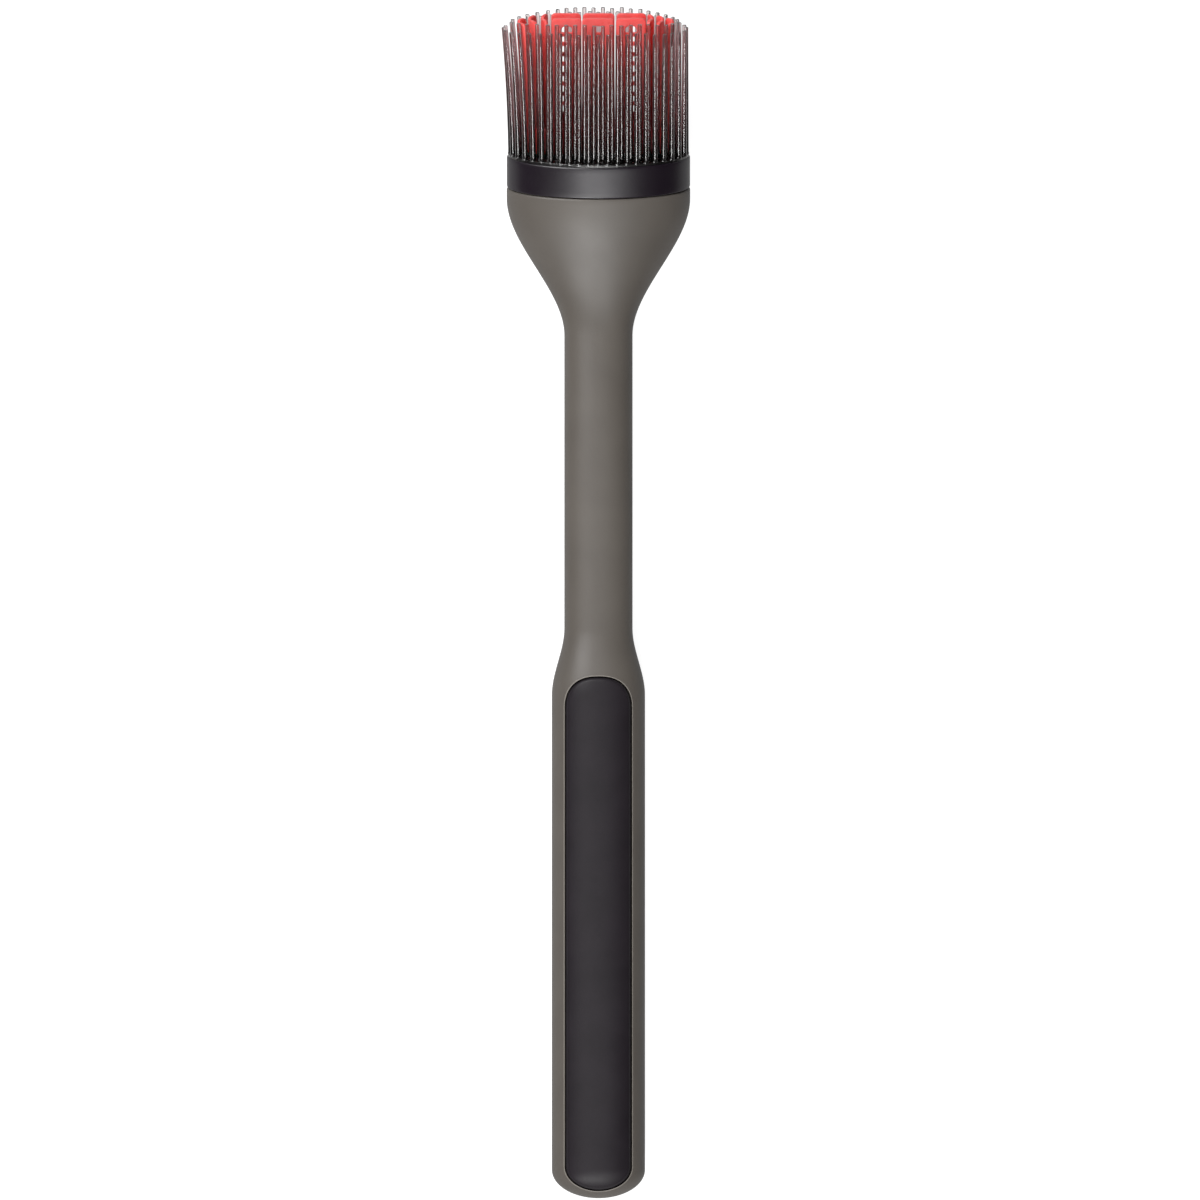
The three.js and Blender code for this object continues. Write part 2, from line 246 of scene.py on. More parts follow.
def centre_height(y):
    """Height of the middle of the section: the flare curves up until it has the head's tilt."""
    length = FLARE[1] - FLARE[0]
    t = min(1.0, max(0.0, (y - FLARE[0]) / length))
    rise = math.tan(HEAD_TILT) * (length * (t**3 - t**4 / 2) + max(0.0, y - FLARE[1]))
    return mix(GRIP_HEIGHT, NECK_HEIGHT, smoothstep(y, *SHOULDER)) + rise


def butt_share(y):
    """How much of the full section the domed butt has at y."""
    if y >= BUTT_LENGTH:
        return 1.0
    return math.sqrt(max(0.0, 1 - ((BUTT_LENGTH - y) / BUTT_LENGTH) ** 2))


def surface_height(x, y, side, offset=0.0):
    """Height of the grip's front (side 1) or back (side -1) surface, moved out by offset."""
    half_width, half_depth, power, _ = handle_section(y)
    share = butt_share(y)
    reach = min(1.0, abs(x) / (half_width * share))
    depth = half_depth * share * (1 - reach**power) ** (1 / power)
    return centre_height(y) + side * (depth + offset)


def section_ring(y, share, angles):
    """Points round the handle at y, with a fine raised parting line along both sides."""
    half_width, half_depth, power, tilt = handle_section(y)
    ring = []
    for angle, proud in angles:
        cos, sin = math.cos(angle), math.sin(angle)
        size = share * (abs(cos) ** power + abs(sin) ** power) ** (-1 / power)
        across = (half_width + proud * share) * size * cos
        depth = half_depth * size * sin
        height = centre_height(y) + depth * math.cos(tilt)
        ring.append((across, y - depth * math.sin(tilt), height))
    return ring


def ring_angles():
    """(angle, how proud) round a section: even steps, and a narrow ridge at each side."""
    even = 112
    ridge = 0.035
    flank = math.radians(0.9)
    angles = []
    for i in range(even):
        angle = 2 * math.pi * i / even
        on_side = i % (even // 2) == 0
        if on_side:
            angles.append((angle - flank, 0.0))
        angles.append((angle, ridge if on_side else 0.0))
        if on_side:
            angles.append((angle + flank, 0.0))
    return angles


def oval(half_width, half_depth, z, count):
    ring = []
    for i in range(count):
        angle = 2 * math.pi * i / count
        ring.append((half_width * math.cos(angle), half_depth * math.sin(angle), z))
    return ring


# ---------------------------------------------------------------- the pads' outline


def pad_outline(inset, end_steps, side_steps):
    """Points round a pad and the nearest point of its middle line for each."""
    top_length, bottom_length = 8.0, 6.0
    top_power = 2.4
    half_width = PAD_HALF_WIDTH - inset
    top_y, bottom_y = PAD_END - top_length, PAD_START + bottom_length
    points = []
    for i in range(end_steps):
        angle = math.pi * i / end_steps
        cos, sin = math.cos(angle), math.sin(angle)
        size = (abs(cos) ** top_power + abs(sin) ** top_power) ** (-1 / top_power)
        points.append((half_width * size * cos, top_y + (top_length - inset) * size * sin))
    for y in steps(top_y, bottom_y, side_steps, include_end=False):
        points.append((-half_width, y))
    for i in range(end_steps):
        angle = math.pi * i / end_steps
        x = -half_width * math.cos(angle)
        points.append((x, bottom_y - (bottom_length - inset) * math.sin(angle)))
    for y in steps(bottom_y, top_y, side_steps, include_end=False):
        points.append((half_width, y))
    spine_top, spine_bottom = PAD_END - PAD_HALF_WIDTH, PAD_START + PAD_HALF_WIDTH
    middle = [(0.0, min(spine_top, max(spine_bottom, y))) for _, y in points]
    return points, middle


def pad_rings(side, inset, levels, height, lowest=None):
    """Rings that run inwards from a pad's outline: levels are distances in from it, then shares of
    the rest of the way to its middle line. height gives how far each stands off the handle."""
    outline, middle = pad_outline(inset, 40, 90)
    rings = []
    for kind, level in levels:
        ring = []
        for (x, y), (mx, my) in zip(outline, middle):
            reach = math.hypot(mx - x, my - y)
            share = level / reach if kind == "in" else mix(PAD_EDGE / reach, 1.0, level)
            px, py = mix(x, mx, share), mix(y, my, share)
            z = surface_height(px, py, side, height(kind, level))
            if lowest is not None:
                z = max(lowest, z)
            ring.append((px, py, z))
        rings.append(ring)
    return rings


# Rings over the rounded edge, then over the rest, closer together near the edge
ROUND_LEVELS = [("in", inset) for inset, _ in rounding(PAD_EDGE, range(0, 91, 15))]
REST_SHARES = (0.03, 0.07, 0.12, 0.18, 0.25, 0.33, 0.42, 0.52, 0.64, 0.76, 0.88, 1.0)
REST_LEVELS = [("rest", share) for share in REST_SHARES]


def rounded(kind, level):
    """Height of a pad's skin over the handle's surface."""
    if kind == "rest":
        return PAD_PROUD
    drop = PAD_EDGE - level
    return PAD_PROUD - PAD_EDGE + math.sqrt(max(0.0, PAD_EDGE**2 - drop**2))


def pad_solid(name, side, inset, top, depth, lowest=None):
    """A pad-shaped body that follows the handle's surface, from depth under it to top over it."""
    upper = pad_rings(side, inset, ROUND_LEVELS + REST_LEVELS, top, lowest)
    lower = pad_rings(side, inset, ROUND_LEVELS + REST_LEVELS, lambda kind, level: -depth)
    wall = []
    for share in (0.35, 0.7):
        pairs = zip(upper[0], lower[0])
        wall.append([(a[0], a[1], mix(a[2], b[2], share)) for a, b in pairs])
    rings = upper[::-1] + wall + lower
    return settle(loft(name, rings))


def rim_bead(side):
    """The rounded bead that runs round a pad's pocket, sunk into the handle."""
    # (how far out from the pocket's edge, how far above the handle)
    profile = [
        (0.0, -1.3), (0.0, -0.5), (0.0, -0.08), (0.03, 0.02), (0.08, 0.07), (0.14, 0.085),
        (0.2, 0.07), (0.25, 0.02), (0.29, -0.05), (0.29, -0.6), (0.29, -1.3),
    ]
    rings = []
    for outward, height in profile:
        outline, _ = pad_outline(-GAP - outward, 56, 90)
        rings.append([(x, y, surface_height(x, y, side, height)) for x, y in outline])
    bead = settle(loft("rim_bead", rings, closed=True))
    # marks the bead for its painted highlight in the grey plastic
    rim_highlight = bead.data.attributes.new("rim_highlight", "FLOAT", "POINT")
    rim_highlight.data.foreach_set("value", [1.0] * len(bead.data.vertices))
    return bead


# ---------------------------------------------------------------- pieces


def socket_rings(angles):
    """Rings down the socket that the collar's skirt sits in, and down the core below it."""
    lead_in = 0.3
    core = (5.8, 4.4)
    core_depth = 12
    opening = (SKIRT[0] + GAP, SKIRT[1] + GAP)
    bottom = -SKIRT_LENGTH - GAP
    levels = [
        (opening[0] + lead_in, opening[1] + lead_in, -SEAM),
        (*opening, -SEAM - lead_in),
        (*opening, bottom),
        (*core, bottom),
        (*core, bottom - core_depth),
    ]
    to_brush = head_matrix()
    rings = []
    for half_width, half_depth, z in levels:
        ring = []
        for angle, _ in angles:
            point = Vector((half_width * math.cos(angle), -half_depth * math.sin(angle), z))
            ring.append(tuple(to_brush @ point))
        rings.append(ring)
    return rings, tuple(to_brush @ Vector((0, 0, bottom - core_depth)))


def retainer_post(x):
    """A post in the socket, with a pin that the retainer plate sits on."""
    shape = [(2.2, -SKIRT_LENGTH - 1), (2.2, 2.1), (2.0, 2.3), (0.9, 2.3), (0.9, 3.6), (0.7, 3.8)]
    rings = [[(x + px, py, z) for px, py, z in oval(r, r, z, 32)] for r, z in shape]
    post = loft("post", rings, cap_start=(x, 0, shape[0][1]), cap_end=(x, 0, shape[-1][1]))
    post.data.transform(head_matrix())
    return settle(post)


def make_handle():
    angles = ring_angles()
    stations = []
    for degrees in (3, *range(7, 78, 5), 81, 84, 87):
        angle = math.radians(degrees)
        stations.append((BUTT_LENGTH * (1 - math.cos(angle)), math.sin(angle)))
    straight = steps(BUTT_LENGTH, SHOULDER[0], 60, False) + steps(*SHOULDER, 22, False)
    straight += steps(SHOULDER[1], FLARE[0], 26, False) + steps(*FLARE, 44, False)
    straight += steps(FLARE[1], HEAD_Y - SEAM - HEAD_CORNER, 2)
    stations += [(y, 1.0) for y in straight]
    for inset, drop in rounding(HEAD_CORNER, (20, 45, 70, 90)):
        stations.append((HEAD_Y - SEAM - drop, 1 - inset / HEAD_HALF_DEPTH))
    rings = [section_ring(y, share, angles) for y, share in stations]
    inner_rings, floor = socket_rings(angles)
    rings += inner_rings
    handle = settle(loft("handle", rings, cap_start=(0, 0, centre_height(0)), cap_end=floor))
    for side in (1, -1):
        cutter = pad_solid("pocket", side, -GAP, lambda kind, level: 2.0, PAD_DEPTH + GAP)
        handle = boolean(handle, cutter, "DIFFERENCE")
    beads = [rim_bead(1), rim_bead(-1)]
    posts = [retainer_post(-9.0), retainer_post(9.0)]
    handle = join([handle, *beads, *posts])
    handle.name = "handle"
    return finish_piece(handle, ["handle_body"], grey_plastic())


def make_pad(side, node):
    # the back pad is flat where the brush lies on it
    lowest = 0.0 if side < 0 else None
    pad = pad_solid(node + "_skin", side, 0.0, rounded, PAD_DEPTH, lowest)
    return finish_piece(pad, [node], soft_grip())


def round_bar(radius, x, y, bottom, top, count=32):
    rings = []
    for z in (bottom, top):
        rings.append([(x + px, y + py, pz) for px, py, pz in oval(radius, radius, z, count)])
    return settle(loft("bar", rings, cap_start=(x, y, bottom), cap_end=(x, y, top)))


def box_bar(half_width, half_depth, bottom, top):
    corners = [(half_width, half_depth), (-half_width, half_depth)]
    corners += [(-half_width, -half_depth), (half_width, -half_depth)]
    rings = [[(x, y, z) for x, y in corners] for z in (bottom, top)]
    return settle(loft("bar", rings, cap_start=(0, 0, bottom), cap_end=(0, 0, top)))


def make_collar():
    lower_edge, upper_edge = 0.45, 0.55
    arc = range(0, 91, 15)
    # (how far in from the side, z) up the outside
    outside = [(inset, z) for z, inset in rounding(lower_edge, arc)]
    outside += [(0.0, z) for z in steps(lower_edge, COLLAR_TOP - upper_edge, 6)[1:-1]]
    outside += [(inset, COLLAR_TOP - drop) for inset, drop in rounding(upper_edge, arc)]
    rings = [oval(*SKIRT, z, 160) for z in (-SKIRT_LENGTH, 0.0)]
    rings += [oval(HEAD_HALF_WIDTH - inset, HEAD_HALF_DEPTH - inset, z, 160) for inset, z in outside]
    collar = settle(loft("collar", rings, cap_start=(0, 0, -SKIRT_LENGTH), cap_end=(0, 0, COLLAR_TOP)))
    inner = (SKIRT[0] - SKIRT_WALL, SKIRT[1] - SKIRT_WALL)
    cavity = [oval(*inner, z, 160) for z in (-SKIRT_LENGTH - 1, CAVITY_TOP)]
    ends = ((0, 0, -SKIRT_LENGTH - 1), (0, 0, CAVITY_TOP))
    plug_hole_radius = 1.6
    cuts = [settle(loft("cavity", cavity, cap_start=ends[0], cap_end=ends[1]))]
    cuts.append(box_bar(RED_NECK[0] + GAP, RED_NECK[1] + GAP, CAVITY_TOP - 1, COLLAR_TOP + 1))
    for x, y in PLUG_PLACES:
        cuts.append(round_bar(plug_hole_radius, x, y, CAVITY_TOP - 1, COLLAR_TOP + 1))
    for cut in cuts:
        collar = boolean(collar, cut, "DIFFERENCE")
    return finish_piece(collar, ["head_collar"], collar_plastic(), in_head=True)


def even_places(half_width, half_depth, count, share):
    """Places an even distance apart round an oval, from a share of one space after +X."""
    fine = 2000
    lengths = [0.0]
    corners = oval(half_width, half_depth, 0, fine)
    for i in range(fine):
        ax, ay, _ = corners[i]
        bx, by, _ = corners[(i + 1) % fine]
        lengths.append(lengths[-1] + math.hypot(bx - ax, by - ay))
    places = []
    at = 0
    for i in range(count):
        wanted = lengths[-1] * (i + share) / count
        while lengths[at + 1] < wanted:
            at += 1
        places.append(corners[at][:2])
    return places


def splay(x):
    """How far the tips lean across: outwards on the left, hardly at all on the right."""
    return -1.9 * smoothstep(-x, 11.0, 22.0) + 0.15 * smoothstep(x, 12.0, 22.0)


def crown(x):
    """How much shorter the bristles are trimmed towards the sides."""
    return 1.1 * smoothstep(abs(x), 8.0, 22.4)


def bristle_rings(place, tip, lean):
    """A tapered round bristle with a filleted foot and a flat tip with a small rounded edge."""
    x, y = place
    root_radius, tip_radius = 0.72, 0.54
    edge = 0.14
    # (radius, z), from inside the flange up over the fillet
    profile = [
        (0.7, FLANGE_TOP - 0.5),
        (0.86, FLANGE_TOP),
        (0.77, FLANGE_TOP + 0.12),
        (root_radius, FLANGE_TOP + 0.4),
    ]
    for z in steps(FLANGE_TOP + 1.0, tip - edge, 9):
        share = (z - FLANGE_TOP) / (tip - FLANGE_TOP)
        profile.append((mix(root_radius, tip_radius, share), z))
    profile += [(tip_radius - 0.04, tip - 0.05), (tip_radius - edge, tip)]
    rings = []
    for radius, z in profile:
        share = max(0.0, (z - FLANGE_TOP) / (tip - FLANGE_TOP))
        bend = 0.35 * share + 0.65 * share**2
        dx, dy = lean[0] * bend, lean[1] * bend
        ring = []
        for px, py, _ in oval(radius, radius, 0, 18):
            ring.append((x + dx + px, y + dy + py, z))
        rings.append(ring)
    foot = (x, y, profile[0][1])
    head = (x + lean[0], y + lean[1], tip)
    return rings, foot, head


def make_outer_bristles():
    edge = 0.12
    profile = [(GAP, FLANGE_BOTTOM), (GAP, FLANGE_TOP - edge)]
    profile += [(GAP + inset, FLANGE_TOP - drop) for inset, drop in rounding(edge, (30, 60, 90))]
    rings = [oval(HEAD_HALF_WIDTH - inset, HEAD_HALF_DEPTH - inset, z, 128) for inset, z in profile]
    ends = ((0, 0, FLANGE_BOTTOM), (0, 0, FLANGE_TOP))
    flange = settle(loft("flange", rings, cap_start=ends[0], cap_end=ends[1]))
    slot = box_bar(RED_NECK[0] + GAP, RED_NECK[1] + GAP, FLANGE_BOTTOM - 1, FLANGE_TOP + 1)
    flange = boolean(flange, slot, "DIFFERENCE")
    bristles = []
    loose = 0.07
    # half width, half depth, bristles, where the first stands, tip
    rows = ((22.4, 11.2, 44, 0.0, OUTER_TIP), (20.3, 8.7, 40, 0.5, SECOND_TIP))
    for half_width, half_depth, count, first, row_tip in rows:
        for x, y in even_places(half_width, half_depth, count, first):
            lean = (splay(x) + rng.gauss(0, loose), rng.gauss(0, loose) + 0.02 * y)
            tip = row_tip - crown(x) + rng.uniform(-0.15, 0.15)
            rings, foot, head = bristle_rings((x, y), tip, lean)
            bristles.append(loft("bristle", rings, cap_start=foot, cap_end=head))
    # the plugs that hold the moulding: a stem through the collar and a wider head below it
    plug_top = FLANGE_BOTTOM + 0.5
    head_top = CAVITY_TOP - GAP
    head_radius, stem_radius = 1.8, 1.3
    profile = [(head_radius, PLUG_BOTTOM), (head_radius, head_top)]
    profile += [(stem_radius, head_top), (stem_radius, plug_top)]
    for x, y in PLUG_PLACES:
        rings = [[(x + px, y + py, z) for px, py, _ in oval(r, r, 0, 24)] for r, z in profile]
        ends = ((x, y, PLUG_BOTTOM), (x, y, plug_top))
        bristles.append(loft("plug", rings, cap_start=ends[0], cap_end=ends[1]))
    moulding = boolean(flange, settle(join(bristles)), "UNION")
    moulding.name = "outer_bristle_moulding"
    return finish_piece(moulding, ["outer_bristles"], smoke_silicone(), in_head=True)


def rounded_rectangle(left, right, bottom, top, radii, arc_steps=5):
    """Points round a rectangle whose corners, from the lower left anticlockwise, have these radii."""
    corners = [(left, bottom, 1, 1, 180), (right, bottom, -1, 1, 270)]
    corners += [(right, top, -1, -1, 0), (left, top, 1, -1, 90)]
    points = []
    for (x, y, sx, sy, start), radius in zip(corners, radii):
        cx, cy = x + sx * radius, y + sy * radius
        for i in range(arc_steps + 1):
            angle = math.radians(start + 90 * i / arc_steps)
            points.append((cx + radius * math.cos(angle), cy + radius * math.sin(angle)))
    return points


def plate(outline, holes, thickness, edge):
    """A flat plate in the X-Z plane with rounded edges, from an outline and holes."""
    curve = bpy.data.curves.new("plate", "CURVE")
    curve.dimensions = "2D"
    curve.fill_mode = "BOTH"
    curve.extrude = thickness / 2 - edge
    curve.bevel_depth = edge
    curve.bevel_resolution = 3
    curve.offset = -edge
    for points in (outline, *holes):
        spline = curve.splines.new("POLY")
        spline.points.add(len(points) - 1)
        for point, (x, y) in zip(spline.points, points):
            point.co = (x, y, 0, 1)
        spline.use_cyclic_u = True
    flat = bpy.data.objects.new("plate", curve)
    bpy.context.scene.collection.objects.link(flat)
    evaluated = flat.evaluated_get(bpy.context.evaluated_depsgraph_get())
    mesh = bpy.data.meshes.new_from_object(evaluated)
    bpy.data.objects.remove(flat)
    mesh.transform(Matrix.Rotation(math.pi / 2, 4, "X"))
    solid = bpy.data.objects.new("plate", mesh)
    bpy.context.scene.collection.objects.link(solid)
    return settle(solid)


def ladder(width, tip, shift, window_width, thickness=1.2):
    """A paddle: an arched window below the tip, then rungs and windows down to the root block.
    A shift moves the windows down the paddle, and a window width of 0 leaves it solid."""
    bottom = RED_BLOCK_TOP - 0.6
    half = width / 2
    outline = rounded_rectangle(-half, half, bottom, tip, (0.1, 0.1, 0.95, 0.95))
    window_height, pitch, top_bar = 4.2, 5.25, 2.0
    lowest_window = RED_BLOCK_TOP + 0.7
    corner = 0.3
    side = window_width / 2
    holes = []
    highest = tip - top_bar
    top = highest - shift + (pitch if shift > 0 else 0)
    while side > 0 and top - window_height > lowest_window:
        arch = corner if holes else side * 0.8
        radii = (corner, corner, arch, arch)
        window_top = min(top, highest)
        holes.append(rounded_rectangle(-side, side, top - window_height, window_top, radii))
        top -= pitch
    return plate(outline, holes, thickness, 0.3)


def lean_over(obj, x, y, lean_x, lean_y):
    """Moves a piece to its place and bends it over, more towards its tip."""
    length = PADDLE_TIP - RED_BLOCK_TOP
    for vertex in obj.data.vertices:
        share = max(0.0, (vertex.co.z - RED_BLOCK_TOP) / length)
        bend = 0.6 * share + 0.4 * share**2
        vertex.co.x += x + lean_x * bend
        vertex.co.y += y + lean_y * bend
    return obj


def root_block(bottom):
    """A round-ended bar with a rounded top edge."""
    end_x, end_radius, edge = 14.8, 4.0, 0.5
    profile = [(0.0, bottom), (0.0, RED_BLOCK_TOP - edge)]
    profile += [(inset, RED_BLOCK_TOP - drop) for inset, drop in rounding(edge, (30, 60, 90))]
    rings = []
    for inset, z in profile:
        ring = []
        for i in range(64):
            angle = 2 * math.pi * (i + 0.5) / 64
            side = end_x if math.cos(angle) > 0 else -end_x
            radius = end_radius - inset
            ring.append((side + radius * math.cos(angle), radius * math.sin(angle), z))
        rings.append(ring)
    ends = ((0, 0, bottom), (0, 0, RED_BLOCK_TOP))
    return settle(loft("root_block", rings, cap_start=ends[0], cap_end=ends[1]))


def make_inner_bristles():
    block_bottom = 9.6
    overlap = 0.5
    head_top = CAVITY_TOP - GAP
    parts = [root_block(block_bottom)]
    # the neck through the collar, and the wider foot below it
    parts.append(box_bar(*RED_NECK, head_top - overlap, block_bottom + overlap))
    parts.append(box_bar(RED_NECK[0] + 1.2, RED_NECK[1] + 0.8, PLUG_BOTTOM, head_top))
    # three wide paddles in front and three behind
    row, window_width, back_shift = 2.6, 3.0, 4.1
    for x, width in ((-8.3, 7.6), (0.0, 8.1), (8.3, 7.6)):
        for y, shift in ((-row, 0.0), (row, back_shift)):
            paddle = ladder(width, PADDLE_TIP + rng.uniform(-0.1, 0.1), shift, window_width)
            sway = rng.gauss(0, 0.12)
            parts.append(lean_over(paddle, x, y, sway, rng.gauss(0, 0.15)))
    # narrow paddles turned towards both sides, and fanned out, on the left more than on the right:
    # x of root, left tip and right tip, turn in degrees, width, y, how much lower the tip is
    fins = (
        (13.1, 13.9, 13.4, 70, 3.3, 1.95, 0.15),
        (15.2, 16.9, 15.9, 62, 3.3, 1.95, 0.55),
        (17.3, 19.8, 18.5, 50, 2.9, 2.0, 1.15),
    )
    for root_x, left_x, right_x, turn, width, y, lower in fins:
        for side, tip_x in ((-1, left_x), (1, right_x)):
            for facing in (-1, 1):
                fin = ladder(width, PADDLE_TIP - lower - rng.uniform(0.0, 0.3), 0.0, 0.0, 0.9)
                fin.data.transform(Matrix.Rotation(-side * facing * math.radians(turn), 4, "Z"))
                spread = side * (tip_x - root_x) + rng.gauss(0, 0.08)
                parts.append(lean_over(fin, side * root_x, facing * y, spread, 0.25 * facing))
    moulding = join(parts)
    moulding.name = "inner_bristle_moulding"
    return finish_piece(moulding, ["inner_bristles"], red_silicone(), in_head=True)


# ---------------------------------------------------------------- materials


class Nodes:
    """A material's nodes, made and linked one call at a time."""

    def __init__(self, name):
        self.material = bpy.data.materials.new(name)
        self.material.use_nodes = True
        self.tree = self.material.node_tree
        self.surface = self.tree.nodes["Principled BSDF"]

    def node(self, kind, **settings):
        made = self.tree.nodes.new("ShaderNode" + kind)
        for key, value in settings.items():
            if isinstance(value, bpy.types.NodeSocket):
                self.tree.links.new(value, made.inputs[key])
            elif key in made.inputs:
                made.inputs[key].default_value = value
            else:
                setattr(made, key, value)
        return made

    def link(self, output, socket):
        self.tree.links.new(output, self.surface.inputs[socket])

    def position(self):
        return self.node("TexCoord").outputs["Object"]

    def noise(self, size_mm, detail=3.0):
        """Noise whose lumps are about size_mm across, from 0 to 1."""
        scale = 1 / (size_mm * MM)
        made = self.node("TexNoise", Vector=self.position(), Scale=scale, Detail=detail, Roughness=0.5)
        return made.outputs["Fac"]

    def spread(self, value, low, high, to_low, to_high):
        """Maps low to to_low and high to to_high, and keeps what is beyond at those."""
        made = self.node("MapRange")
        self.tree.links.new(value, made.inputs["Value"])
        names = ("From Min", "From Max", "To Min", "To Max")
        for name, number in zip(names, (low, high, to_low, to_high)):
            made.inputs[name].default_value = number
        return made.outputs["Result"]

    def colours(self, value, *stops):
        """A colour ramp of (place, linear colour) stops."""
        made = self.node("ValToRGB")
        self.tree.links.new(value, made.inputs["Fac"])
        elements = made.color_ramp.elements
        while len(elements) < len(stops):
            elements.new(0.5)
        for element, (place, colour) in zip(elements, stops):
            element.position = place
            element.color = (*colour, 1)
        return made.outputs["Color"]

    def blend(self, factor, first, second):
        """A mix of two colours: the first where factor is 0, the second where it is 1."""
        made = self.node("Mix", data_type="RGBA", blend_type="MIX")
        for value, socket in ((factor, 0), (first, 6), (second, 7)):
            if isinstance(value, bpy.types.NodeSocket):
                self.tree.links.new(value, made.inputs[socket])
            elif isinstance(value, tuple):
                made.inputs[socket].default_value = (*value, 1)
            else:
                made.inputs[socket].default_value = value
        return made.outputs[2]

    def bump(self, height, distance_mm, strength):
        """Raises the surface by distance_mm where height is 1."""
        made = self.node("Bump", Strength=strength, Distance=distance_mm * MM)
        self.tree.links.new(height, made.inputs["Height"])
        self.link(made.outputs["Normal"], "Normal")

    def add(self, first, second, scale=1.0):
        """first + second * scale"""
        made = self.node("Math", operation="MULTIPLY_ADD")
        self.tree.links.new(second, made.inputs[0])
        made.inputs[1].default_value = scale
        self.tree.links.new(first, made.inputs[2])
        return made.outputs[0]

    def up_the_head(self):
        """Distance up the bristles from the collar's lower edge, in millimetres."""
        axis = head_matrix().to_3x3() @ Vector((0, 0, 1))
        origin = head_matrix().translation * MM + Vector((0, handle_low.y, 0))
        offset = self.node("VectorMath", operation="SUBTRACT")
        self.tree.links.new(self.position(), offset.inputs[0])
        offset.inputs[1].default_value = origin
        along = self.node("VectorMath", operation="DOT_PRODUCT")
        self.tree.links.new(offset.outputs[0], along.inputs[0])
        along.inputs[1].default_value = axis / MM
        return along.outputs["Value"]


def grey_plastic():
    """Warm grey satin plastic: spark-eroded grain, faint mottling, a few polished patches and a
    painted highlight on the bead round each pad.
    """
    m = Nodes("grey_plastic")
    mottle = m.noise(14, 2)
    grey = m.colours(mottle, (0.3, (0.095, 0.084, 0.0735)), (0.7, (0.107, 0.095, 0.083)))
    # the pad's rim is rubbed lighter
    # the bead round each pad's pocket is painted lighter: a painted highlight
    rim_highlight = m.node("Attribute", attribute_name="rim_highlight").outputs["Fac"]
    m.link(m.blend(rim_highlight, grey, (0.22, 0.2, 0.178)), "Base Color")
    grain = m.noise(0.28, 2)
    handling = m.noise(22, 4)
    m.link(m.add(m.spread(handling, 0.3, 0.7, 0.4, 0.48), grain, 0.06), "Roughness")
    m.surface.inputs["Specular IOR Level"].default_value = 0.5
    m.bump(m.add(grain, m.noise(0.9, 2), 0.4), 0.012, 0.55)
    return m.material


def soft_grip():
    """Soft-touch elastomer: near black, matt, finely pebbled."""
    m = Nodes("soft_grip")
    cloud = m.noise(9, 3)
    black = m.colours(cloud, (0.3, (0.0105, 0.0078, 0.0108)), (0.7, (0.0145, 0.011, 0.0148)))
    m.link(black, "Base Color")
    pebble = m.noise(0.35, 2)
    m.link(m.add(m.spread(m.noise(16, 3), 0.3, 0.7, 0.43, 0.5), pebble, 0.08), "Roughness")
    m.surface.inputs["Specular IOR Level"].default_value = 0.3
    m.bump(m.add(pebble, m.noise(1.1, 2), 0.5), 0.02, 0.6)
    return m.material


def collar_plastic():
    """Satin black plastic with a fine even grain."""
    m = Nodes("collar_plastic")
    cloud = m.noise(10, 2)
    black = m.colours(cloud, (0.3, (0.0065, 0.0033, 0.007)), (0.7, (0.009, 0.0053, 0.0098)))
    m.link(black, "Base Color")
    grain = m.noise(0.32, 3)
    m.link(m.add(m.spread(m.noise(12, 3), 0.3, 0.7, 0.3, 0.36), grain, 0.08), "Roughness")
    m.surface.inputs["Specular IOR Level"].default_value = 0.6
    m.bump(grain, 0.018, 0.6)
    return m.material


def smoke_silicone():
    """Smoky silicone, clear at the tips, and darker and darker down to an almost black flange: partly
    the smoke's own tone, partly painted shade down among the bristles, with painted red light from the
    paddles at mid height.
    """
    m = Nodes("smoke_silicone")
    height = m.spread(m.up_the_head(), FLANGE_TOP, SECOND_TIP, 0, 1)
    cloudy = m.add(height, m.spread(m.noise(6, 2), 0.3, 0.7, -1, 1), 0.02)
    # the darkening down the bristles is partly painted shade, and the reddish middle stops are painted
    # red light from the paddles
    smoke_with_painted_shade = m.colours(
        cloudy,
        (0.0, (0.012, 0.008, 0.009)),
        (0.08, (0.08, 0.05, 0.052)),
        (0.3, (0.27, 0.17, 0.175)),
        (0.6, (0.37, 0.255, 0.26)),
        (0.85, (0.47, 0.345, 0.35)),
        (1.0, (0.8, 0.75, 0.745)),
    )
    m.link(smoke_with_painted_shade, "Base Color")
    satin = m.spread(m.up_the_head(), FLANGE_TOP, FLANGE_TOP + 1.0, 0.4, 0.0)
    m.link(m.add(m.spread(m.noise(1.5, 2), 0.3, 0.7, 0.05, 0.08), satin), "Roughness")
    m.surface.inputs["IOR"].default_value = 1.41
    m.surface.inputs["Specular IOR Level"].default_value = 0.3
    m.surface.inputs["Transmission Weight"].default_value = 0.97
    m.surface.inputs["Coat Weight"].default_value = 1.0
    m.surface.inputs["Coat Roughness"].default_value = 0.2
    m.surface.inputs["Coat IOR"].default_value = 1.55
    return m.material


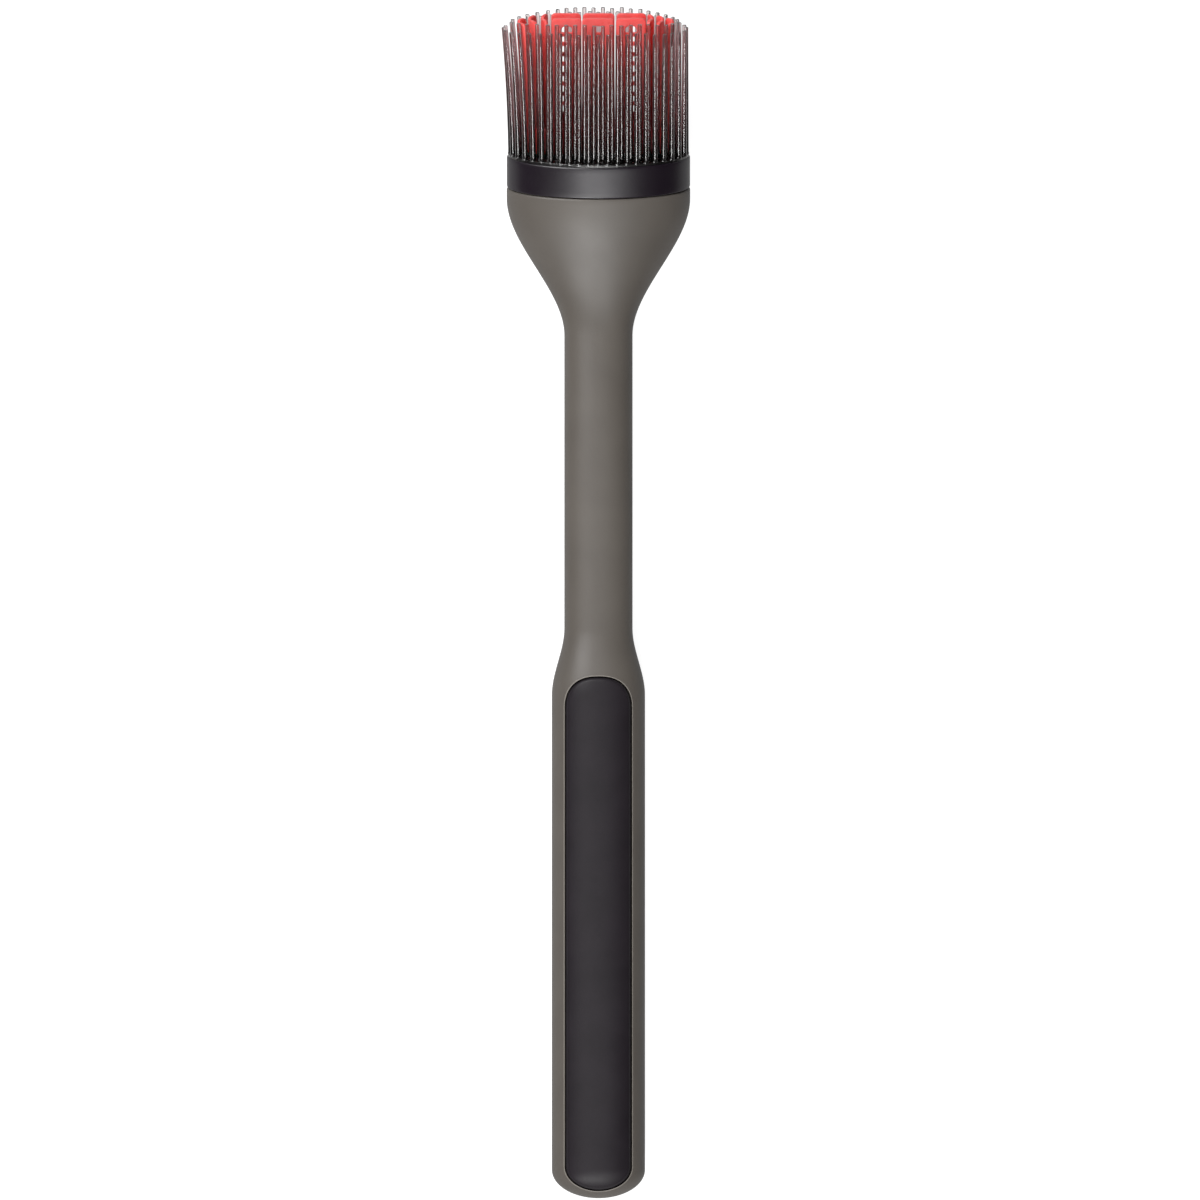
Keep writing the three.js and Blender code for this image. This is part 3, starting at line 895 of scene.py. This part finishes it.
def red_silicone():
    """Red silicone: slightly translucent, satin, with faint flow marks. Painted shade makes it a
    deeper red down between the smoky bristles, least so towards the sides."""
    m = Nodes("red_silicone")
    flow = m.noise(3.5, 3)
    fresh = m.colours(flow, (0.3, (0.9, 0.1, 0.095)), (0.7, (0.96, 0.125, 0.118)))
    # painted shade: a deeper red low down between the bristles, less of it towards the sides
    painted_shade_low_down = m.spread(m.up_the_head(), RED_BLOCK_TOP + 4, PADDLE_TIP, 1.0, 0.0)
    across = m.node("SeparateXYZ", Vector=m.position()).outputs["X"]
    sideways = m.node("Math", operation="ABSOLUTE")
    m.tree.links.new(across, sideways.inputs[0])
    painted_shade_in_middle = m.spread(sideways.outputs[0], 11 * MM, 16 * MM, 0.92, 0.2)
    depth = m.node("Math", operation="MULTIPLY")
    m.tree.links.new(painted_shade_low_down, depth.inputs[0])
    m.tree.links.new(painted_shade_in_middle, depth.inputs[1])
    # the dark red mixed in here is the painted shade's colour
    m.link(m.blend(depth.outputs[0], fresh, (0.22, 0.004, 0.006)), "Base Color")
    m.link(m.spread(m.noise(1.2, 3), 0.3, 0.7, 0.26, 0.34), "Roughness")
    m.surface.inputs["Subsurface Weight"].default_value = 0.35
    m.surface.inputs["Subsurface Radius"].default_value = (1.0, 0.25, 0.2)
    m.surface.inputs["Subsurface Scale"].default_value = 2 * MM
    m.surface.inputs["IOR"].default_value = 1.41
    m.bump(m.noise(0.5, 2), 0.012, 0.4)
    return m.material


# ---------------------------------------------------------------- the studio


def make_camera():
    """Straight above the brush through a long lens, framed on its whole length, in metres."""
    distance = 12.0
    view_height = 0.3076
    right, up = 0.0004, 0.0008
    camera = bpy.data.objects.new("camera", bpy.data.cameras.new("camera"))
    bpy.context.scene.collection.objects.link(camera)
    camera.data.lens = camera.data.sensor_width * distance / view_height
    middle = (cad_box[0].y + cad_box[1].y) / 2
    camera.location = (right, middle + up, distance)
    camera.data.clip_end = 2 * distance
    bpy.context.scene.camera = camera


def make_floor():
    half = 3.0
    corners = [(-half, -half, 0), (half, -half, 0), (half, half, 0), (-half, half, 0)]
    floor = new_object("floor", corners, [(0, 1, 2, 3)])
    m = Nodes("white_floor")
    m.surface.inputs["Base Color"].default_value = (0.27, 0.27, 0.27, 1)
    m.surface.inputs["Roughness"].default_value = 0.9
    m.surface.inputs["Emission Color"].default_value = (1, 1, 1, 1)
    # white to the camera, straight or through the bristles, dimmer where it is mirrored, and
    # lighting nothing else
    white, mirrored_share = 0.95, 0.32
    path = m.node("LightPath")
    seen = m.add(path.outputs["Is Camera Ray"], path.outputs["Is Transmission Ray"])
    seen = m.add(seen, path.outputs["Is Glossy Ray"], mirrored_share)
    m.link(m.spread(seen, 0, 1, 0.0, white), "Emission Strength")
    floor.data.materials.append(m.material)


def area_light(name, place, size, power, aim):
    """A soft box: its place, size and aim in metres and its power in watts."""
    light = bpy.data.lights.new(name, "AREA")
    light.shape = "RECTANGLE"
    light.size, light.size_y = size
    light.energy = power
    lamp = bpy.data.objects.new(name, light)
    lamp.location = place
    lamp.rotation_mode = "QUATERNION"
    # keeps the lamps' own images out of the clear bristles
    lamp.visible_transmission = False
    lamp.rotation_quaternion = (Vector(aim) - Vector(place)).to_track_quat("-Z", "Y")
    bpy.context.scene.collection.objects.link(lamp)


def make_lights():
    neck = (0.0, 0.05, 0.0)
    area_light("strip", (-0.4, 0.3, 1.0), (0.3, 0.6), 3.9, (0.0, 0.2, 0.0))
    area_light("low", (-0.2, -1.12, 0.9), (0.45, 0.3), 12.2, neck)
    area_light("narrow", (0.0, -0.58, 1.1), (0.58, 0.2), 4.2, neck)
    area_light("rear", (-0.42, 0.8, 0.8), (0.5, 0.3), 10.0, neck)


def make_room():
    """A pale backdrop for the camera, and a dim room for everything that it lights."""
    world = bpy.data.worlds.new("studio")
    world.use_nodes = True
    nodes, links = world.node_tree.nodes, world.node_tree.links
    room = nodes["Background"]
    room.inputs["Color"].default_value = (1, 1, 1, 1)
    room.inputs["Strength"].default_value = 0.01
    backdrop = nodes.new("ShaderNodeBackground")
    backdrop.inputs["Strength"].default_value = 1.0
    path = nodes.new("ShaderNodeLightPath")
    pick = nodes.new("ShaderNodeMixShader")
    links.new(path.outputs["Is Camera Ray"], pick.inputs[0])
    links.new(room.outputs[0], pick.inputs[1])
    links.new(backdrop.outputs[0], pick.inputs[2])
    links.new(pick.outputs[0], nodes["World Output"].inputs["Surface"])
    bpy.context.scene.world = world


bpy.context.scene.view_settings.view_transform = "Standard"
make_camera()
make_floor()
make_lights()
make_room()
make_handle()
make_pad(1, "front_grip_pad")
make_pad(-1, "rear_grip_pad")
make_collar()
make_outer_bristles()
make_inner_bristles()
# the retainer plate stays as it is in the CAD model, in the collar's plastic
for material_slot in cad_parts["retainer_plate"].material_slots:
    material_slot.material = collar_plastic()
